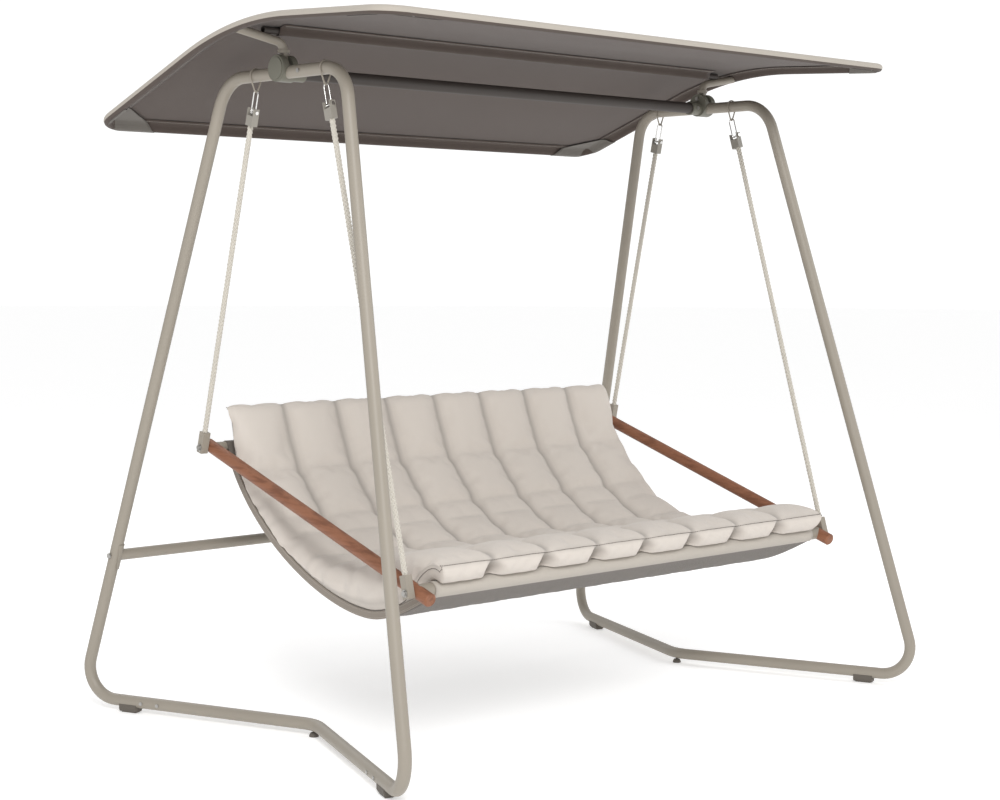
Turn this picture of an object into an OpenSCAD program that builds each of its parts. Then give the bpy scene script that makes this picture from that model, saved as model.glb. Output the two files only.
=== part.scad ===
// Canopy swing bench: steel frame, tilting canopy, hanging bucket seat on four ropes.
// Millimetres. +X across the bench, -Y towards the sitter's front, +Z up, origin on the floor.

/* [Frame] */
// outside diameter of the frame tube
tube_d = 38; // [32:1:50]
// wall of the frame tube
tube_wall = 1.8; // [1.2:0.1:3]
// height of the top run's centre line
top_z = 2018; // [1800:1:2200]
// height of the base rail's centre line
rail_z = 35; // [28:1:60]
// half width between the two top runs
top_x = 935; // [800:1:1100]
// how far each side frame leans out per millimetre of height
lean = 0.1075; // [0:0.001:0.2]
// half depth of the top run's corners
top_y = 297; // [200:1:400]
// how far each leg splays per millimetre of height
splay = 0.272; // [0.1:0.001:0.4]
// half width at the base rail's inward bend
rail_x = 821; // [700:1:1000]
// centre line radius of the top bends
top_bend = 115; // [80:1:200]
// centre line radius of the foot bends
foot_bend = 100; // [70:1:150]
// height of the rear crossbar
cross_z = 508; // [300:1:900]

/* [Hangers] */
// half width between the ropes
rope_x = 935; // [800:1:1000]
// rope diameter
rope_d = 15; // [10:1:20]
// height of the hanger pivots
hang_z = 1970; // [1900:1:2000]
// distance of the near hanger from the hub
hang_near = 140; // [100:1:200]
// distance of the far hanger from the hub
hang_far = 206; // [150:1:260]

/* [Seat] */
// half width between the wooden bars
bar_x = 900; // [700:1:1000]
// wooden bar diameter
bar_d = 40; // [30:1:50]
// front end of the bar
bar_front = [-635, 514];
// rear end of the bar
bar_rear = [465, 876];
// front pivot along Y
pivot_f = -577; // [-620:1:-500]
// rear pivot along Y
pivot_r = 442; // [380:1:450]
// half width of the sling
sling_x = 850; // [700:1:880]
// half width of the cushion
cushion_x = 862; // [700:1:878]

/* [Canopy] */
// half width to the end bows
canopy_x = 1107; // [900:1:1250]
// canopy tube diameter
bow_d = 22; // [18:1:30]
// ridge tube diameter
ridge_d = 25; // [20:1:30]
// front edge of the canopy as Y and Z
canopy_front = [-688, 2127];
// corner of the canopy's bend as Y and Z
canopy_ridge = [4, 2165];
// rear edge of the canopy as Y and Z
canopy_rear = [761, 1893];
// radius of the bend over the ridge
ridge_bend = 1300; // [600:10:2000]
// plan radius of the canopy's corners
corner_bend = 75; // [40:1:150]
// fabric thickness
cloth = 1.5; // [1:0.1:3]

/* [Hidden] */
$fn = 48;
eps = 0.02;
seam = 0.04;
ro = tube_d / 2;
ri = ro - tube_wall;
spigot_r = ri - 0.1;
spigot_ri = spigot_r - tube_wall;
foot_x = top_x + lean * (top_z - rail_z);
foot_y = top_y + splay * (top_z - rail_z);
rail_slope = (foot_x - rail_x) / foot_y;
rail_joint = 635;
top_joint = 131;
hub_z = top_z + 12;
hub_r = 40;
hub_half = 26;
tilt_z = top_z + 36;
bow_r = bow_d / 2;
post_r = 13;
post_z = top_z + 87;
ridge_x = canopy_x - 97;
bow_end = canopy_x - corner_bend - 6;

// ---- paths ----
function unit(v) = v / norm(v);
function turn(a, b, c) = acos(unit(b - a) * unit(c - b));
function lead(a, b, c, r) = r * tan(turn(a, b, c) / 2);
function onrail(s, y) = [s * (rail_x + rail_slope * abs(y)), y, rail_z];
// level direction square to the base rail, pointing outwards
function railout(s, y) = let (a = atan(rail_slope)) [s * cos(a), -sign(y) * sin(a), 0];
function onleg(s, f, z) = [s * (top_x + lean * (top_z - z)), f * (top_y + splay * (top_z - z)), z];
function bez(a, b, c, d, t) = pow(1 - t, 3) * a + 3 * t * pow(1 - t, 2) * b
    + 3 * t * t * (1 - t) * c + pow(t, 3) * d;
function curve(a, b, c, d, n) = [for (i = [0:n]) bez(a, b, c, d, i / n)];

// a straight piece of tube, or a solid rod when b is 0
module rod(p, q, a, b = 0) {
    d = q - p;
    h = norm(d);
    translate(p) rotate([0, acos(d[2] / h), atan2(d[1], d[0])])
        if (b > 0) linear_extrude(h) difference() { circle(a); circle(b); }
        else cylinder(r = a, h = h);
}

// the bend of a tube whose centre lines meet at q
module elbow(p, q, w, r, a, b = 0) {
    u = unit(q - p);
    v = unit(w - q);
    k = unit(cross(u, v));
    m = cross(k, u);
    s = q - u * lead(p, q, w, r);
    c = s + m * r;
    x = -m;
    multmatrix([[x[0], u[0], k[0], c[0]], [x[1], u[1], k[1], c[1]], [x[2], u[2], k[2], c[2]]])
        rotate_extrude(angle = turn(p, q, w), $fn = 96) translate([r, 0])
            if (b > 0) difference() { circle(a); circle(b); } else circle(a);
}

// a tube bent along a list of points with one radius per inner point
module bent(pts, radii, a, b = 0) {
    n = len(pts);
    for (i = [0:n - 2]) {
        u = unit(pts[i + 1] - pts[i]);
        s = i == 0 ? pts[0]
            : pts[i] + u * (lead(pts[i - 1], pts[i], pts[i + 1], radii[i - 1]) + seam);
        e = i == n - 2 ? pts[n - 1]
            : pts[i + 1] - u * (lead(pts[i], pts[i + 1], pts[i + 2], radii[i]) + seam);
        rod(s, e, a, b);
        if (i < n - 2) elbow(pts[i], pts[i + 1], pts[i + 2], radii[i], a, b);
        if (i > 0) backing(s, u, a, b);
        if (i < n - 2) backing(e, u, a, b);
    }
}

// inner ring that carries a tube across the hairline between a straight and its bend
module backing(p, u, a, b) {
    if (b > 0) rod(p - u * 2.5, p + u * 2.5, b + (a - b) * 0.3, b - 0.8);
    else rod(p - u * 1.5, p + u * 1.5, a * 0.8);
}

// button head screw pointing along d from its seat at p
module screw(p, d, head = 6, shaft = 2.5, len = 12, tall = 3) {
    rod(p, p + unit(d) * len, shaft);
    rod(p - unit(d) * tall, p + unit(d) * eps, head);
}

// ---- side frames ----
// s is the side, f the front or rear, inner true for the leg with the reduced upper end
module leg(s, f, inner) {
    joint = inner ? f * top_joint : -f * top_joint;
    path = [[s * top_x, joint, top_z], [s * top_x, f * top_y, top_z],
        [s * foot_x, f * foot_y, rail_z], onrail(s, f * rail_joint)];
    difference() {
        union() {
            bent(path, [top_bend, foot_bend], ro, ri);
            if (inner)
                rod([s * top_x, f * (top_joint - 60), top_z], [s * top_x, f * (top_joint + 8), top_z],
                    spigot_r, spigot_ri);
            if (inner) collar([s * top_x, joint, top_z], [0, f, 0]);
            d = unit(onrail(s, 0) - onrail(s, f * rail_joint));
            rod(path[3] - d * 8, path[3] + d * 120, spigot_r, spigot_ri);
            collar(path[3], -d);
        }
        if (inner) rod([s * (top_x - 30), f * (top_joint - 35), top_z],
            [s * (top_x + 30), f * (top_joint - 35), top_z], 3.1);
        else rod([s * (top_x - 30), -f * (top_joint - 35), top_z],
            [s * (top_x + 30), -f * (top_joint - 35), top_z], 3.1);
        for (y = [545, 604]) rail_hole(s, f * y);
        if (f > 0) crossbolt_hole(s);
    }
}

// closes the step between the tube's bore and its reduced end
module collar(p, d) {
    rod(p, p + d * 8, ri + 0.1, spigot_r - 0.2);
}

module rail_hole(s, y) {
    rod(onrail(s, y) + railout(s, y) * 40, onrail(s, y), 2.7);
}

module crossbolt_hole(s) {
    p = onleg(s, 1, cross_z);
    rod(p - [30, 0, 0], p + [30, 0, 0], 4.2);
}

module base_rail(s) {
    j = rail_joint - 0.3;
    difference() {
        bent([onrail(s, -j), onrail(s, 0), onrail(s, j)], [120], ro, ri);
        for (y = [-604, -545, 545, 604]) rail_hole(s, y);
        translate(mid_foot(s)) translate([0, 0, -rail_z]) cylinder(r = 4.1, h = rail_z);
    }
}
function mid_foot(s) = onrail(s, 0) + [s * 120 * (1 / cos(atan(rail_slope)) - 1), 0, 0];

module rail_screws() {
    for (s = [-1, 1], y = [-604, -545, 545, 604])
        screw(onrail(s, y) + railout(s, y) * (ro + 0.1), -railout(s, y), 6, 2.5, 9, 2.6);
}

module end_foot(s, f) {
    p = onrail(s, f * 655);
    a = atan2((p - onrail(s, 0))[0], (p - onrail(s, 0))[1]);
    difference() {
        translate([p[0], p[1], 0]) rotate([0, 0, -a]) union() {
            translate([0, 0, 3]) intersection() {
                linear_extrude(27) square([36, 66], center = true);
                rotate([90, 0, 0]) linear_extrude(66, center = true)
                    polygon([[-13, -1], [13, -1], [18, 8], [18, 22], [15, 30], [-15, 30], [-18, 22], [-18, 8]]);
            }
            linear_extrude(3.5) square([24, 54], center = true);
        }
        rod(onrail(s, f * 560), onrail(s, f * 700), ro + 0.1);
    }
}

module mid_foot_pad(s) {
    p = mid_foot(s);
    translate([p[0], p[1], 0]) {
        cylinder(r = 15, h = 4);
        translate([0, 0, 4 - eps]) cylinder(r1 = 15, r2 = 11, h = 8);
        cylinder(r = 4, h = rail_z - 8);
    }
}

// ---- crossbar ----
module crossbar() {
    a = onleg(-1, 1, cross_z);
    b = onleg(1, 1, cross_z);
    difference() {
        rod(a, b, ro - 1, ri - 1);
        for (s = [-1, 1]) rod(onleg(s, 1, cross_z - 60), onleg(s, 1, cross_z + 60), ro + 3.1);
    }
    for (s = [-1, 1]) difference() {
        rod(onleg(s, 1, cross_z) - [s * 60, 0, 0], onleg(s, 1, cross_z) - [s * 45, 0, 0], ri - 1 + eps);
        rod(a, b, 4.1);
    }
}

module crossbar_saddle(s) {
    p = onleg(s, 1, cross_z - 40);
    q = onleg(s, 1, cross_z + 40);
    c = onleg(s, 1, cross_z);
    difference() {
        rod(p, q, ro + 3, ro + 0.1);
        translate([s > 0 ? c[0] + 2 : c[0] - 62, c[1] - 40, cross_z - 60]) cube([60, 80, 120]);
        rod(c - [s * 40, 0, 0], c, 4.2);
    }
}

module crossbar_bolt(s) {
    c = onleg(s, 1, cross_z);
    screw(c + [s * (ro + 1.4), 0, 0], [-s, 0, 0], 9, 4, 80, 5);
}

// ---- hubs and beam ----
module hub(s) {
    difference() {
        union() {
            rod([s * (top_x - hub_half), 0, hub_z], [s * (top_x + hub_half), 0, hub_z], hub_r);
            rod([s * (top_x - hub_half - 44), 0, top_z], [s * (top_x - hub_half + 2), 0, top_z], ro + 5);
        }
        rod([s * top_x, -60, top_z], [s * top_x, 60, top_z], ro + 0.1);
        rod([s * (top_x - hub_half - 50), 0, top_z], [s * (top_x - hub_half + 1), 0, top_z], ro + 0.1);
        translate([s * top_x - 7.3, -50, top_z + ro + 2]) cube([14.6, 100, 60]);
        rod([s * (top_x - hub_half - 12), 0, tilt_z], [s * (top_x + hub_half - 8), 0, tilt_z], 4.1);
        for (f = [-1, 1]) rod([s * (top_x - hub_half - 24), f * 40, top_z],
            [s * (top_x - hub_half - 24), 0, top_z], 2.6);
    }
}

module hub_cap(s) {
    x = top_x + hub_half;
    rod([s * (x + 0.05), 0, hub_z], [s * (x + 3), 0, hub_z], 39);
    rod([s * (x + 3 - eps), 0, hub_z], [s * (x + 6), 0, hub_z], 33);
}

module beam() {
    e = top_x - hub_half + 0.5;
    difference() {
        rod([-e, 0, top_z], [e, 0, top_z], ro, ri);
        for (s = [-1, 1]) rod([s * (top_x - hub_half - 24), -40, top_z],
            [s * (top_x - hub_half - 24), 40, top_z], 2.6);
    }
}

module beam_screws() {
    for (s = [-1, 1], f = [-1, 1]) screw([s * (top_x - hub_half - 24), f * (ro + 5.1), top_z],
        [0, -f, 0], 6, 2.5, 10, 2.6);
}

module top_joint_screws() {
    for (s = [-1, 1]) {
        y = s * (top_joint - 35);
        x = s * top_x;
        screw([x + s * (ro + 0.1), y, top_z], [-s, 0, 0], 6.5, 3, 2 * ro + 3, 3);
        rod([x - s * (ro + 0.1), y, top_z], [x - s * (ro + 5), y, top_z], 6);
    }
}

// ---- hangers ----
function hang_y(s, f) = f == s ? f * hang_far : f * hang_near;
function pivot_y(f) = f < 0 ? pivot_f : pivot_r;
function bar_at(y) = bar_front[1] + (y - bar_front[0]) * (bar_rear[1] - bar_front[1])
    / (bar_rear[0] - bar_front[0]);
function hang_len(s, f) = norm([pivot_y(f) - hang_y(s, f), hang_z - bar_at(pivot_y(f))]);
function hang_tilt(s, f) = atan2(pivot_y(f) - hang_y(s, f), hang_z - bar_at(pivot_y(f)));

// a wire ring over the tube that narrows to its bottom
module hanger_loop(s, f) {
    big = ro + 2.8;
    small = 6;
    drop = top_z - hang_z - small;
    b = asin((big - small) / drop);
    c = [cos(b), -sin(b)];
    translate([s * rope_x, hang_y(s, f), top_z]) rotate([90, 0, 0]) {
        rotate([0, 0, -b]) rotate_extrude(angle = 180 + 2 * b, $fn = 96) translate([big, 0]) circle(2.4);
        translate([0, -drop, 0]) rotate([0, 0, 180 + b])
            rotate_extrude(angle = 180 - 2 * b) translate([small, 0]) circle(2.4);
        for (m = [-1, 1]) {
            p = [m * big * c[0], big * c[1], 0];
            q = [m * small * c[0], small * c[1] - drop, 0];
            u = unit(q - p);
            rod(p + u * seam, q - u * seam, 2.4);
            backing(p, u, 2.4, 0);
            backing(q, u, 2.4, 0);
        }
    }
}

module at_hanger(s, f) {
    translate([s * rope_x, hang_y(s, f), hang_z]) rotate([hang_tilt(s, f), 0, 0]) children();
}

// bright wire stirrup that hangs in the ring and carries the fork bolt
module bail() {
    top = 4.7;
    w = 11;
    rotate([0, 0, 90]) {
        translate([0, 0, top - w]) rotate([90, 0, 0]) rotate_extrude(angle = 180) translate([w, 0]) circle(2);
        for (m = [-1, 1]) {
            rod([m * w, 0, top - w - seam], [m * w, 0, -57], 2);
            backing([m * w, 0, top - w], [0, 0, 1], 2, 0);
            difference() {
                rod([m * w - 2.5, 0, -61], [m * w + 2.5, 0, -61], 6);
                rod([m * w - 3, 0, -61], [m * w + 3, 0, -61], 3.2);
            }
        }
    }
}

module fork() {
    difference() {
        translate([-11, -16.4, -104]) cube([22, 32.8, 54]);
        translate([-9.3, -14.4, -92]) cube([18.6, 28.8, 60]);
        translate([-20, -14.4, -72]) cube([40, 28.8, 40]);
        rotate([90, 0, 0]) translate([0, -61, -30]) cylinder(r = 3.2, h = 60);
        translate([0, 0, -110]) cylinder(r = rope_d / 2 + 0.2, h = 30);
    }
}

module fork_bolt() {
    rod([0, -19, -61], [0, 21, -61], 3);
    rod([0, -20.5, -61], [0, -16.5, -61], 5.5);
    rod([0, 16.5, -61], [0, 20, -61], 5.5);
}

module rope(n) {
    translate([0, 0, -n + 30]) cylinder(r = rope_d / 2, h = n - 30 - 84);
    translate([0, 0, -84 - eps]) cylinder(r = rope_d / 2 + 1.5, h = 6);
}

// folded plate that holds the rope's lower end and turns on the pivot bolt
module bracket(n, s) {
    w = 12.5;
    x0 = -(rope_x - bar_x - bar_d / 2) + 1.2;
    difference() {
        translate([s > 0 ? x0 : -11.5, -w, -n - 17]) cube([11.5 - x0, 2 * w, 68]);
        translate([s > 0 ? x0 + 2 : -9.5, -w + 2, -n - 30]) cube([7.5 - x0, 2 * w, 60]);
        translate([s > 0 ? x0 + 2 : -9.5, -w + 2, -n + 20]) cube([7.5 - x0, 2 * w - 4, 22]);
        translate([0, 0, -n + 20]) cylinder(r = rope_d / 2 + 0.2, h = 60);
        for (z = [-9, 3]) translate([-30, 0, -n + z]) rotate([0, 90, 0]) cylinder(r = 4.6, h = 60);
        translate([-30, -4.5, -n - 9]) cube([60, 9, 12]);
    }
}

// ---- seat ----
module side_bar(s) {
    a = [s * bar_x, bar_front[0], bar_front[1]];
    b = [s * bar_x, bar_rear[0], bar_rear[1]];
    u = unit(b - a);
    difference() {
        union() {
            rod(a + u * 4, b - u * 4, bar_d / 2);
            for (e = [[a, u], [b, -u]]) capend(e[0], e[1]);
        }
        for (y = [pivot_f, pivot_r]) rod([s * (bar_x - 40), y, bar_at(y)], [s * (bar_x + 40), y, bar_at(y)], 4.1);
    }
}

module capend(p, u) {
    h = 4;
    translate(p) rotate([0, acos(u[2]), atan2(u[1], u[0])])
        cylinder(r1 = bar_d / 2 - 4, r2 = bar_d / 2, h = h + eps);
}

module crosstube(y, r, wall) {
    difference() {
        rod([-bar_x, y, bar_at(y)], [bar_x, y, bar_at(y)], r, r - wall);
        bar_cut(0.1);
    }
}

module bar_cut(g) {
    for (s = [-1, 1]) rod([s * bar_x, bar_front[0], bar_front[1]], [s * bar_x, bar_rear[0], bar_rear[1]],
        bar_d / 2 + g);
}

module plug(s, y, r) {
    x = bar_x - bar_d / 2;
    difference() {
        rod([s * (x - 32), y, bar_at(y)], [s * (x - 8), y, bar_at(y)], r);
        rod([s * (x - 40), y, bar_at(y)], [s * x, y, bar_at(y)], 4.1);
    }
}

module pivot_bolt(s, y) {
    x = rope_x + 11.5;
    rod([s * (x + 0.3), y, bar_at(y)], [s * (bar_x - 50), y, bar_at(y)], 4);
    rod([s * (x + 0.3), y, bar_at(y)], [s * (x + 2.3), y, bar_at(y)], 11);
    rod([s * (x + 2.3 - eps), y, bar_at(y)], [s * (x + 7), y, bar_at(y)], 7.5);
}

front_r = 21;
rear_r = 14;
hem = 3;
zf = bar_at(pivot_f);
zr = bar_at(pivot_r);
bottom = [-300, 412];
// underside of the sling from the front hem to the rear hem
sling_low = concat(
    curve([pivot_f, zf - front_r - hem], [-505, 474], [-400, bottom[1]], bottom, 12),
    [for (p = curve(bottom, [-60, bottom[1]], [325, 605], [pivot_r - rear_r - 1, zr], 24)) if (p[0] > bottom[0]) p]);
function side(p, q) = let (d = unit(q - p)) [-d[1], d[0]];
function grow(l, g) = [for (i = [0:len(l) - 1])
    l[i] + g * side(l[max(i - 1, 0)], l[min(i + 1, len(l) - 1)])];
function back(l) = [for (i = [len(l) - 1:-1:0]) l[i]];

// extrudes a Y-Z outline along X
module across(h) {
    rotate([90, 0, 90]) linear_extrude(2 * h, center = true) children();
}

module sling() {
    across(sling_x) {
        polygon(concat(sling_low, back(grow(sling_low, hem))));
        translate([pivot_f, zf]) difference() { circle(front_r + hem); circle(front_r + 0.1); }
        translate([pivot_r, zr]) difference() { circle(rear_r + hem); circle(rear_r + 0.1); }
    }
}

binding_line = [for (p = sling_low) if (p[0] > pivot_f + 12 && p[0] < pivot_r - 26) p];
module sling_binding(s) {
    translate([s * (sling_x + 3.7), 0, 0]) across(3.5)
        polygon(concat(binding_line, back(grow(binding_line, 24))));
}

module cushion() {
    under = [for (p = grow(sling_low, hem + 0.6)) if (p[0] > -470 && p[1] < 800) p];
    difference() {
        across(cushion_x) polygon(concat(
        curve([-552, 560], [-520, 556], [-500, 480], under[0], 6),
        under,
        curve([392, 812], [404, 880], [412, 950], [428, 990], 6),
        curve([426, 996], [415, 1012], [392, 1006], [376, 962], 6),
        curve([370, 946], [330, 840], [300, 770], [150, 640], 10),
        curve([130, 622], [40, 555], [-120, 520], [-260, 565], 10),
        curve([-290, 574], [-420, 612], [-520, 632], [-596, 626], 8),
        curve([-612, 622], [-642, 610], [-644, 574], [-622, 563], 6)));
        for (s = [-1, 1]) translate([s * (sling_x + 8), 0, 0]) across(8.4)
            polygon(concat(binding_line, back(grow(binding_line, 24.6))));
    }
}

// ---- canopy ----
function can3(s, p) = [s * canopy_x, p[0], p[1]];
front3 = can3(1, canopy_front);
module bow(s) {
    difference() {
        union() {
            bent([[s * bow_end, canopy_front[0], canopy_front[1]], can3(s, canopy_front),
                can3(s, canopy_ridge), can3(s, canopy_rear), [s * bow_end, canopy_rear[0], canopy_rear[1]]],
                [corner_bend - 1, ridge_bend, corner_bend - 1], bow_r, bow_r - 1.5);
            for (p = [canopy_front, canopy_rear]) {
                rod([s * (bow_end - 28), p[0], p[1]], [s * (bow_end + 4), p[0], p[1]], bow_r - 1.6, bow_r - 3);
                rod([s * (bow_end + 0.5), p[0], p[1]], [s * (bow_end + 4), p[0], p[1]], bow_r - 1.3, bow_r - 2.6);
            }
        }
        for (p = [canopy_front, canopy_rear]) edge_hole(s, p);
    }
}

// screw hole through the underside of an edge tube and the spigot in it
module edge_hole(s, p) {
    rod([s * (bow_end - 14), p[0], p[1] - 20], [s * (bow_end - 14), p[0], p[1]], 2.2);
}

function ridge_apex() = let (a = turn(can3(1, canopy_front), can3(1, canopy_ridge), can3(1, canopy_rear)))
    canopy_ridge[1] - ridge_bend * (1 / cos(a / 2) - 1);
ridge_z = ridge_apex();
ridge_way = unit(unit(canopy_ridge - canopy_front) + unit(canopy_rear - canopy_ridge));

// the arm that leaves the post sideways and meets the end bow
function arm_end(s) = [s * (canopy_x - 5), 0, ridge_z - 3];

module ridge_tube() {
    difference() {
        rod([-ridge_x, 0, ridge_z], [ridge_x, 0, ridge_z], ridge_d / 2 - 2, ridge_d / 2 - 4);
        for (s = [-1, 1]) rod([s * top_x, 0, post_z], arm_end(s), post_r + 0.2);
    }
}

module canopy_post(s) {
    x = s * top_x;
    difference() {
        union() {
            bent([[x, 0, tilt_z + 22], [x, 0, post_z], arm_end(s)], [30], post_r, post_r - 2);
            rod([x, 0, tilt_z + 21], [x, 0, tilt_z + 31], 18);
            translate([x - 6.9, -12, tilt_z]) cube([13.8, 24, 24]);
            rod([x - 6.9, 0, tilt_z], [x + 6.9, 0, tilt_z], 12.2);
        }
        rod([x - 20, 0, tilt_z], [x + 20, 0, tilt_z], 4.1);
        rod([s * canopy_x, -60 * ridge_way[0], ridge_z - 60 * ridge_way[1]],
            [s * canopy_x, 60 * ridge_way[0], ridge_z + 60 * ridge_way[1]], bow_r + 0.5);
    }
}

module tilt_bolt(s) {
    x = top_x - hub_half;
    screw([s * (x - 0.1), 0, tilt_z], [s, 0, 0], 7, 4, 44, 5);
}

module edge_tube(p) {
    e = bow_end - 0.2;
    difference() {
        rod([-e, p[0], p[1]], [e, p[0], p[1]], bow_r, bow_r - 1.5);
        for (s = [-1, 1]) edge_hole(s, p);
    }
}

module canopy_screws() {
    for (s = [-1, 1], p = [canopy_front, canopy_rear])
        screw([s * (bow_end - 14), p[0], p[1] - bow_r - 0.1], [0, 0, 1], 5, 2, 6, 2.2);
}

// the cloth's profile in Y-Z, g above the tube centre lines
function prof(g) = let (
    a = unit(canopy_ridge - canopy_front), b = unit(canopy_rear - canopy_ridge),
    t = acos(a * b), n = [-a[1], a[0]],
    s = canopy_ridge - a * ridge_bend * tan(t / 2), c = s - n * ridge_bend)
    concat([canopy_front - a * (bow_r + 1) + n * g],
        [for (i = [0:16]) let (w = t * i / 16) c + (ridge_bend + g) * (n * cos(w) + a * sin(w))],
        [canopy_rear + b * (bow_r + 1) + [-b[1], b[0]] * g]);

module plan_prism(g) {
    y0 = canopy_front[0] - bow_r - g;
    y1 = canopy_rear[0] + bow_r + g;
    r = corner_bend - 12 + bow_r + g;
    w = canopy_x + bow_r + g;
    translate([0, 0, 1800]) linear_extrude(500) {
        translate([-w, y0 + r]) square([2 * w, y1 - y0 - 2 * r]);
        translate([-w + r, y0]) square([2 * w - 2 * r, y1 - y0]);
        for (sx = [-1, 1], y = [y0 + r, y1 - r]) translate([sx * (w - r), y]) circle(r);
    }
}

module canopy_fabric() {
    intersection() {
        across(canopy_x + 40) polygon(concat(prof(bow_r + 0.5), back(prof(bow_r + 0.5 + cloth))));
        plan_prism(cloth + 0.6);
    }
}

// the sleeve's outer wall, which hangs from the fabric over the edge tubes
module canopy_hem() {
    intersection() {
        across(canopy_x + 40) polygon(concat(prof(-bow_r - 1), back(prof(bow_r + 0.5))));
        difference() { plan_prism(cloth + 0.6); plan_prism(0.6); }
    }
}

module corner_pocket(s, f) {
    a = unit(canopy_ridge - canopy_front);
    b = unit(canopy_rear - canopy_ridge);
    p = f < 0 ? canopy_front : canopy_rear;
    d = f < 0 ? a : -b;
    n = f < 0 ? [-a[1], a[0]] : [-b[1], b[0]];
    q = p - n * (bow_r + 1.4);
    m = 205;
    x = s * (canopy_x - 4);
    multmatrix([[s, 0, 0, s * canopy_x], [0, d[0], n[0], q[0]], [0, d[1], n[1], q[1]]])
        linear_extrude(1.2) difference() {
            polygon([[-52, -4], [-m, -4], [-m, 6], [-20, m * 0.8], [-4, m * 0.8], [-4, 46]]);
            translate([bow_end - 14 - canopy_x, 0]) circle(6.5);
        }
}

color("#b0a696") leg(-1, -1, true);  // front_leg_left
color("#b0a696") leg(1, -1, false);  // front_leg_right
color("#b0a696") leg(-1, 1, false);  // rear_leg_left
color("#b0a696") leg(1, 1, true);  // rear_leg_right
color("#b0a696") base_rail(-1);  // base_rail_left
color("#b0a696") base_rail(1);  // base_rail_right
color("#777777") rail_screws();
color("#8d8880") for (s = [-1, 1], f = [-1, 1]) end_foot(s, f);  // end_feet
color("#8d8880") for (s = [-1, 1]) mid_foot_pad(s);  // mid_feet
color("#b0a696") crossbar();
color("#b0a696") for (s = [-1, 1]) crossbar_saddle(s);  // crossbar_saddles
color("#777777") for (s = [-1, 1]) crossbar_bolt(s);  // crossbar_bolts
color("#8c8678") hub(-1);  // hub_left
color("#8c8678") hub(1);  // hub_right
color("#6b675c") for (s = [-1, 1]) hub_cap(s);  // hub_caps
color("#777777") top_joint_screws();
color("#4a423c") beam();
color("#777777") beam_screws();
color("#c9c2b4") for (s = [-1, 1], f = [-1, 1]) hanger_loop(s, f);  // hanger_loops
color("#b0a696") canopy_post(-1);  // canopy_post_left
color("#b0a696") canopy_post(1);  // canopy_post_right
color("#777777") for (s = [-1, 1]) tilt_bolt(s);  // tilt_bolts
color("#b0a696") ridge_tube();
color("#b0a696") bow(-1);  // bow_left
color("#b0a696") bow(1);  // bow_right
color("#b0a696") edge_tube(canopy_front);  // canopy_front_tube
color("#b0a696") edge_tube(canopy_rear);  // canopy_rear_tube
color("#777777") canopy_screws();
color("#a79b8c") canopy_fabric();
color("#a79b8c") canopy_hem();
color("#8f887c") for (s = [-1, 1], f = [-1, 1]) corner_pocket(s, f);  // corner_pockets
color("#d0d0d0") at_hanger(-1, -1) bail();  // bail_front_left
color("#8b8882") at_hanger(-1, -1) fork();  // fork_front_left
color("#cccccc") at_hanger(-1, -1) fork_bolt();  // fork_bolt_front_left
color("#cdc8bc") at_hanger(-1, -1) rope(hang_len(-1, -1));  // rope_front_left
color("#b9b3a6") at_hanger(-1, -1) bracket(hang_len(-1, -1), -1);  // bracket_front_left
color("#d0d0d0") at_hanger(-1, 1) bail();  // bail_rear_left
color("#8b8882") at_hanger(-1, 1) fork();  // fork_rear_left
color("#cccccc") at_hanger(-1, 1) fork_bolt();  // fork_bolt_rear_left
color("#cdc8bc") at_hanger(-1, 1) rope(hang_len(-1, 1));  // rope_rear_left
color("#b9b3a6") at_hanger(-1, 1) bracket(hang_len(-1, 1), -1);  // bracket_rear_left
color("#d0d0d0") at_hanger(1, -1) bail();  // bail_front_right
color("#8b8882") at_hanger(1, -1) fork();  // fork_front_right
color("#cccccc") at_hanger(1, -1) fork_bolt();  // fork_bolt_front_right
color("#cdc8bc") at_hanger(1, -1) rope(hang_len(1, -1));  // rope_front_right
color("#b9b3a6") at_hanger(1, -1) bracket(hang_len(1, -1), 1);  // bracket_front_right
color("#d0d0d0") at_hanger(1, 1) bail();  // bail_rear_right
color("#8b8882") at_hanger(1, 1) fork();  // fork_rear_right
color("#cccccc") at_hanger(1, 1) fork_bolt();  // fork_bolt_rear_right
color("#cdc8bc") at_hanger(1, 1) rope(hang_len(1, 1));  // rope_rear_right
color("#b9b3a6") at_hanger(1, 1) bracket(hang_len(1, 1), 1);  // bracket_rear_right
color("#a8633c") side_bar(-1);  // side_bar_left
color("#a8633c") side_bar(1);  // side_bar_right
color("#b0a696") crosstube(pivot_f, front_r, 1.8);  // front_crosstube
color("#b0a696") crosstube(pivot_r, rear_r, 2.5);  // rear_crosstube
color("#8b8882") for (s = [-1, 1]) {  // crosstube_plugs
    plug(s, pivot_f, front_r - 1.9);
    plug(s, pivot_r, rear_r - 2.6);
}
color("#777777") for (s = [-1, 1], y = [pivot_f, pivot_r]) pivot_bolt(s, y);  // pivot_bolts
color("#9d9486") sling();
color("#8a8174") for (s = [-1, 1]) sling_binding(s);  // sling_bindings
color("#d3cabd") cushion();
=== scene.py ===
# Canopy swing bench: finishes, sewn pieces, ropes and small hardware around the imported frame.
import math
import bmesh
import bpy
import numpy as np
from mathutils import Matrix, Vector


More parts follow.
